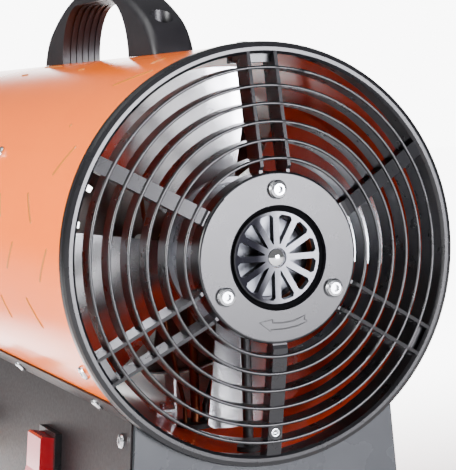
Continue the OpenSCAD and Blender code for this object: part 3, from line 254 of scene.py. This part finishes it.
BEAD_HALF_W = 1.25
BEAD_SINK = 0.12
BEAD_H_SHARE = 0.55  # height over the sunk edge as a share of the half width
BEAD_CROWN = 0.8  # below one, so the crown is flatter than a half wave
BEAD_STEP, BEAD_LEAST_STEPS = 1.6, 6
BEAD_COLUMNS = 7


def bead(points, faces, start, end):
    """Raised dash with rounded ends between two places, each a distance in mm and an angle."""
    (y0, a0), (y1, a1) = start, end
    round_r = SHELL_R/MM
    run_y, run_round = y1 - y0, math.radians(a1 - a0)*round_r
    length = math.hypot(run_y, run_round)
    steps = max(BEAD_LEAST_STEPS, round(length/BEAD_STEP))
    rows = []
    for i in range(steps + 1):
        t = i/steps
        from_end = min(1.0, min(t, 1 - t)*length/BEAD_HALF_W)
        wide = BEAD_HALF_W*math.sqrt(max(0.0, 1 - (1 - from_end)**2))
        row = []
        for k in range(BEAD_COLUMNS):
            side = 2*k/(BEAD_COLUMNS - 1) - 1
            lift = BEAD_H_SHARE*wide*math.cos(side*math.pi/2)**BEAD_CROWN - BEAD_SINK
            y = y0 + run_y*t - run_round/length*side*wide
            a = a0 + (a1 - a0)*t + math.degrees(run_y/length*side*wide/round_r)
            row.append(len(points))
            points.append(on_shell(y, a, lift))
        rows.append(row)
    for one, two in zip(rows, rows[1:]):
        faces += [(one[k], one[k + 1], two[k + 1], two[k]) for k in range(BEAD_COLUMNS - 1)]


# Ends of the beads seen on the left side, each a distance from the guard in mm and an angle. Those in
# the band nearest to the guard come again twice along the shell, and the right side has all of them
# mirrored.
BEAD_PITCH = 165
seen = [((64.8, 124.1), (31.3, 116.7)), ((54.0, 155.7), (35.9, 146.2)), ((89.3, 161.0), (70.6, 169.7)),
        ((146.4, 162.2), (135.6, 169.5)), ((104.4, 175.5), (120.2, 184.2)), ((36.5, 175.1), (54.0, 185.3)),
        ((147.5, 192.9), (137.6, 200.4)), ((88.9, 190.9), (70.5, 199.5)), ((71.1, 140.4), (69.2, 139.2)),
        ((330.6, 101.9), (284.5, 102.7)), ((61.3, 111.8), (59.2, 106.7)), ((328.7, 111.2), (316.5, 110.7)),
        ((195.8, 111.5), (189.5, 110.1))]
repeated = seen[1:8]
points, faces = [], []
for start, end in seen:
    bead(points, faces, start, end)
    bead(points, faces, (start[0], 180 - start[1]), (end[0], 180 - end[1]))
for start, end in repeated:
    for shift in (BEAD_PITCH, 2*BEAD_PITCH):
        bead(points, faces, (start[0] + shift, start[1]), (end[0] + shift, end[1]))
        bead(points, faces, (start[0] + shift, 180 - start[1]), (end[0] + shift, 180 - end[1]))
# Painted shade: the beads' darker orange.
bead_painted_shade = finish("orange_with_painted_bead_shade", "#a85a08", "#bd6a0c", 0.3, grain=8, spread=0.03)
piece("pressed_beads", points, faces, bead_painted_shade)

# Inlet guard: one moulding of black glass-filled nylon, pushed over the shell's end and held by three
# screws. Its fine spark-eroded satin turns light grey where the softbox meets it and stays black
# elsewhere.
nylon = finish("black_moulded_nylon", "#08080a", "#0e0e11", 0.28, grain=12, spread=0.012,
               bump=0.02, bump_grain=0.5)
dress("inlet_guard", nylon)

# Turning arrow: an outline moulded in the guard's nylon, a fifth of a millimetre proud on the hub
# disc, which shows the way that the fan turns. Its colour is a deeper black than the guard's, painted
# shade that stands in for the shadow at its flanks.
# Painted shade: a deeper black nylon for the arrow and the collar.
nylon_painted_shade = finish("black_nylon_painted_shade", "#060607", "#0a0a0b", 0.5, grain=8)
guard_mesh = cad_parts["inlet_guard"].data
guard_tree = BVHTree.FromPolygons([v.co for v in guard_mesh.vertices],
                                  [p.vertices for p in guard_mesh.polygons])
BEHIND_GUARD = -50*MM


def on_guard(radius, angle):
    """Point on the guard's rear face at a radius in mm and an angle seen from behind."""
    turn = math.radians(angle)
    start = AXIS + Vector((radius*math.cos(turn)*MM, BEHIND_GUARD, radius*math.sin(turn)*MM))
    return guard_tree.ray_cast(start, Vector((0.0, 1.0, 0.0)))[0]


# Corners of the outline from the arrow's point round its tail, each a radius in mm and an angle.
ARROW_HALF_W = 0.42
ARROW_CREST_SHARE = 0.6
ARROW_RISE = Vector((0.0, -0.2*MM, 0.0))
arrow = [(37.3, 249.7), (34.2, 261.4), (36.0, 262.4), (36.1, 271.1), (36.2, 280.4), (36.2, 287.5),
         (36.2, 294.5), (38.0, 292.2), (39.9, 294.2), (39.8, 285.7), (39.5, 277.5), (39.6, 269.1),
         (39.8, 261.2), (41.0, 261.2)]
corners = [on_guard(radius, angle) for radius, angle in arrow]
points, faces = [], []
for i, here in enumerate(corners):
    after = (i + 1) % len(corners)
    bend = (here - corners[i - 1]).normalized() + (corners[after] - here).normalized()
    across = Vector((-bend.z, 0.0, bend.x)).normalized()*ARROW_HALF_W*MM
    crest = across*ARROW_CREST_SHARE
    points += [here - across, here - crest + ARROW_RISE, here + crest + ARROW_RISE, here + across]
    faces += [(4*i + k, 4*i + k + 1, 4*after + k + 1, 4*after + k) for k in range(3)]
piece("turning_arrow", points, faces, nylon_painted_shade)


# Lower bar's collar: a ring moulded on the guard's lower bar round the head of a small sunk screw,
# with a flat floor inside. It is the guard's own black nylon, coloured with the same painted shade as
# the arrow.
def turned_part(name, centre, profile, material):
    """Body of revolution about a line to the rear: profile of radius and height in mm."""
    sides = 48
    axis = Vector((0.0, -1.0, 0.0))
    side = axis.orthogonal().normalized()
    other = axis.cross(side)
    points, faces = [], []
    for radius, height in profile:
        for i in range(sides):
            turn = 2*math.pi*i/sides
            points.append(centre + axis*height*MM + (side*math.cos(turn) + other*math.sin(turn))*radius*MM)
    for k in range(len(profile) - 1):
        for i in range(sides):
            j = (i + 1) % sides
            faces.append((k*sides + i, k*sides + j, (k + 1)*sides + j, (k + 1)*sides + i))
    piece(name, points, faces, material)


LOWER_SCREW_R, STRAIGHT_DOWN = 99.7, 270.0
screw_place = on_guard(LOWER_SCREW_R, STRAIGHT_DOWN)
collar = [(4.1, -0.2), (4.1, 0.5), (3.9, 0.7), (3.5, 0.7), (3.3, 0.5), (3.3, 0.05), (0.02, 0.05)]
# Painted shade: the collar takes the arrow's deeper black.
turned_part("lower_bar_collar", screw_place, collar, nylon_painted_shade)

# Screws, fan nut and straps: cold-headed and pressed steel, plated with bright zinc, a smooth
# blue-white metal with a light haze. The lower bar's own small screw has a round socket.
zinc = finish("bright_zinc_plate", "#c9ccd0", "#e4e6e8", 0.22, metal=1.0, grain=4, spread=0.06)
dress(["guard_screws", "motor_screws", "tube_screws", "tube_brackets", "handle_screws", "foot_screws",
       "panel_screws", "fan_nut"], zinc)
head = [(2.7, 0.0), (2.7, 0.3), (2.4, 0.55), (1.3, 0.6), (1.2, 0.1), (0.02, 0.1)]
turned_part("lower_bar_screw", screw_place, head, zinc)

# Front bell and fan hub: die-cast aluminium, turned where they bear and blasted with fine beads. The
# tiny dents spread light widely, so the castings shine softly and show no clear image.
cast = finish("blasted_die_cast_aluminium", "#8b8c8f", "#a9aaad", 0.34, metal=1.0, grain=2, spread=0.06,
              bump=0.03, bump_grain=0.4)
dress(["motor_front_bell", "fan_hub"], cast)

# Rear bell: the same casting, bare on its raised face and drawn matt black beyond it, in the gap
# where the guard's hub stands over the flange. Its left side is coloured darker, painted shade that
# stands in for the softbox's reflection fading to the left.
BARE_R = 25.5*MM
PAINT_EDGE = 0.2*MM
SHADE_START_X, SHADE_FULL_X = 10*MM, -13*MM
painted = finish("die_cast_aluminium_with_black_flange", "#505154", "#67686b", 0.32, metal=1.0, grain=2,
                 spread=0.06, bump=0.03, bump_grain=0.4)
tree = painted.node_tree
beyond = add(tree, "MapRange", {"Value": from_axis(tree), "From Min": BARE_R,
                                "From Max": BARE_R + PAINT_EDGE}).outputs["Result"]
# Painted shade: the bell's colour darkens towards its left side.
aside = add(tree, "SeparateXYZ", {"Vector": add(tree, "TexCoord").outputs["Object"]}).outputs["X"]
left_painted_shade = add(tree, "MapRange", {"Value": aside, "From Min": SHADE_START_X, "From Max": SHADE_FULL_X},
           interpolation_type="SMOOTHSTEP").outputs["Result"]
over(painted, left_painted_shade, "#08080a")
over(painted, beyond, "#0a0a0b")
bare = add(tree, "Math", {0: 1.0, 1: beyond}, operation="SUBTRACT").outputs["Value"]
tree.links.new(bare, tree.nodes["Principled BSDF"].inputs["Metallic"])
tree.links.new(bare, tree.nodes["Principled BSDF"].inputs["Specular IOR Level"])
dress("motor_rear_bell", painted)

# Bearing cap: pressed from steel sheet, polished and chromed, and set in the middle of the rear bell.
# It is a small domed mirror that shows the whole studio.
chrome = finish("polished_chrome", "#e8e9eb", "#f2f2f3", 0.06, metal=1.0, grain=30, spread=0.02)
dress("bearing_cap", chrome)

# Motor can and shaft: a can drawn from steel sheet and a shaft turned from bar, both left bare. They
# have the even haze of fine turning marks.
turned = finish("turned_steel", "#8d8f93", "#a6a8ab", 0.3, metal=1.0, grain=5, spread=0.05)
dress(["motor_can", "motor_shaft"], turned)

# Stator and rotor: punched electrical sheets, stacked, pressed together and dipped in lacquer. The
# lacquer makes them greyer than the can, with a duller shine.
stack = finish("lacquered_electrical_steel", "#5c5e63", "#777a7f", 0.34, metal=0.95, grain=3)
dress(["stator_core", "rotor_core"], stack)

# Windings: enamelled copper wire, wound into the stator and tied at both ends, red brown and glossy.
# One wire is too fine to show, so the relief is drawn as coarse as a bundle of strands.
copper_wire = finish("enamelled_copper_wire", "#8a3c18", "#b4592a", 0.32, metal=0.8, grain=1.2, bump=0.25,
                     bump_grain=1.2)
dress("stator_windings", copper_wire)

# Bushes: sintered bronze, pressed to size, soaked in oil and pushed into the two bells. The oil
# darkens the pores, so the bronze is brown with a dull gleam.
bronze = finish("oiled_sintered_bronze", "#8f6a3a", "#a78150", 0.4, metal=1.0, grain=1)
dress(["rear_bush", "front_bush"], bronze)

# Fan blades: four blades and their spider, pressed from bright rolled aluminium sheet and seated on
# the hub. The rolled skin is nearly a mirror, with a soft blur.
sheet = finish("bright_rolled_aluminium", "#dcdddf", "#eeeef0", 0.25, metal=1.0, grain=16, spread=0.03)
dress("fan_blades", sheet)

# Flame tube: rolled from aluminised steel sheet with its outlet end turned in, and hung in the shell
# on straps. The dipped skin is pale grey with a light spangle.
aluminised = finish("aluminised_steel_sheet", "#a6a7a6", "#bdbdba", 0.33, metal=1.0, grain=7, spread=0.08)
dress("flame_tube", aluminised)

# Burner plate and cup: punched and drawn from plain steel sheet, set in the rear of the flame tube.
# The flame has blued and browned the bare steel in patches.
blued = finish("heat_blued_steel", "#5a5450", "#77716c", 0.42, metal=1.0, grain=14, spread=0.1)
dress(["burner_plate", "burner_cup"], blued)

# Gas nozzle, valve, inlet and thermocouple: machined from brass bar and screwed together. The brass
# is bare and bright yellow, and faint tool marks blur its shine.
brass = finish("machined_brass", "#b58f45", "#cba75c", 0.26, metal=1.0, grain=4, spread=0.07)
dress(["gas_nozzle", "gas_valve_body", "gas_inlet", "thermocouple"], brass)

# Gas pipe and thermocouple lead: drawn copper, bent to shape and led from the base to the burner.
# The air that passes has tarnished it to a dull brown.
copper = finish("drawn_copper", "#5f3825", "#7a4c33", 0.42, metal=1.0, grain=6, spread=0.08)
dress(["gas_pipe", "thermocouple_lead"], copper)

# Grommets and feet: moulded black rubber, pushed into holes of the shell and screwed under the tray.
# It is matt, and a fine bloom lifts its black a little.
rubber = finish("black_moulded_rubber", "#141414", "#1d1d1d", 0.7, grain=6, bump=0.04, bump_grain=0.8)
dress(["pipe_grommet", "rubber_feet"], rubber)

# Motor cable and igniter lead: copper strands in an extruded black sheath, led through the grommets
# into the base. The sheath is smoother than the rubber, with a long soft shine.
sheath = finish("black_cable_sheath", "#121213", "#1a1a1b", 0.42, grain=20, spread=0.05)
dress(["motor_cable", "igniter_lead"], sheath)

# Igniter electrode: a rod in a sleeve of glazed alumina, which is fixed in the burner plate. The
# glaze makes the off-white ceramic smooth and glossy.
alumina = finish("glazed_alumina", "#dcd9d0", "#ebe8e0", 0.18, grain=5, spread=0.04)
dress("igniter_electrode", alumina)

# Outlet guard: rings and spokes of steel wire, welded and dipped in black enamel. The enamel runs
# smooth, so each wire has a narrow line of shine.
wire = finish("black_enamelled_wire", "#141414", "#202020", 0.35, grain=7)
dress("outlet_guard", wire)

# Handle: moulded in black glass-filled nylon and held by two screws from above. Its texture is
# coarser than the guard's, so it is dull, with a soft sheen where it turns to the light.
grip_nylon = finish("black_textured_nylon", "#0f0e11", "#18171b", 0.42, grain=15, spread=0.04, bump=0.05,
                    bump_grain=0.7)
dress("handle", grip_nylon)

# Side panels: folded 1.2 mm steel with a charcoal powder coat, screwed to the shell and the tray. The
# coat has a fine texture that scatters light and reflects little.
charcoal = finish("charcoal_powder_coat", "#151112", "#1c1718", 0.42, grain=2.0, spread=0.05, bump=0.04,
                  bump_grain=0.5, specular=0.13)
dress(["control_panel", "right_panel"], charcoal)

# End plates and tray: the same folded steel, closed off under the side panels, with a smoother grey
# powder coat. It has a soft sheen that shows where the floor is bright.
grey_coat = finish("grey_powder_coat", "#292b2e", "#34373a", 0.27, grain=30, spread=0.04, bump=0.02,
                   bump_grain=0.6, specular=0.34)
dress(["rear_plate", "front_plate", "base_tray"], grey_coat)

# Switch bezel, igniter and cable gland: moulded in black polyamide and set in holes of the panels.
# The moulds were polished, so the plastic has a plain gloss.
gloss_black = finish("black_moulded_polyamide", "#0f0f11", "#161618", 0.26, grain=10, spread=0.04)
dress(["switch_body", "piezo_body", "piezo_button", "cable_gland"], gloss_black)

# Rocker and gas button: moulded in red tinted polycarbonate. The rocker's walls are deep red. Its
# outer face is coloured paler, a painted reflection of the white light that falls on it, with fine
# upright ribs moulded behind it, drawn as paler stripes.
RIB_PITCH = 0.982*MM
BANDS_PER_UNIT = 20/(2*math.pi)  # of Blender's wave texture at scale one
LEFT_FACING = -0.8
red_tint = finish("red_tinted_polycarbonate", "#7c0812", "#8f0e18", 0.14, grain=12, spread=0.03, coat=0.4)
dress(["switch_rocker", "valve_button"], red_tint)
# Painted reflection: the rocker's outer face is coloured paler than its walls.
lens = finish("red_polycarbonate_painted_pale_face", "#b85a60", "#c86a70", 0.14, grain=14, spread=0.03, coat=0.6)
tree = lens.node_tree
ribs = add(tree, "TexWave", {"Vector": add(tree, "TexCoord").outputs["Object"],
                             "Scale": 1/RIB_PITCH/BANDS_PER_UNIT, "Distortion": 0.0, "Detail": 0.0},
           bands_direction="Y").outputs["Fac"]
over(lens, ribs, "#e39aa0")
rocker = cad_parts["switch_rocker"].data
rocker.materials.append(lens)
for polygon in rocker.polygons:
    if polygon.normal.x < LEFT_FACING:
        polygon.material_index = 1

# Terminal block: moulded in natural nylon and fixed on the tray inside the base. Uncoloured nylon is
# milky, slightly yellow and a little waxy.
nylon_white = finish("natural_nylon", "#dcdad2", "#e9e7e0", 0.4, grain=6)
dress("terminal_block", nylon_white)

bpy.context.view_layer.update()
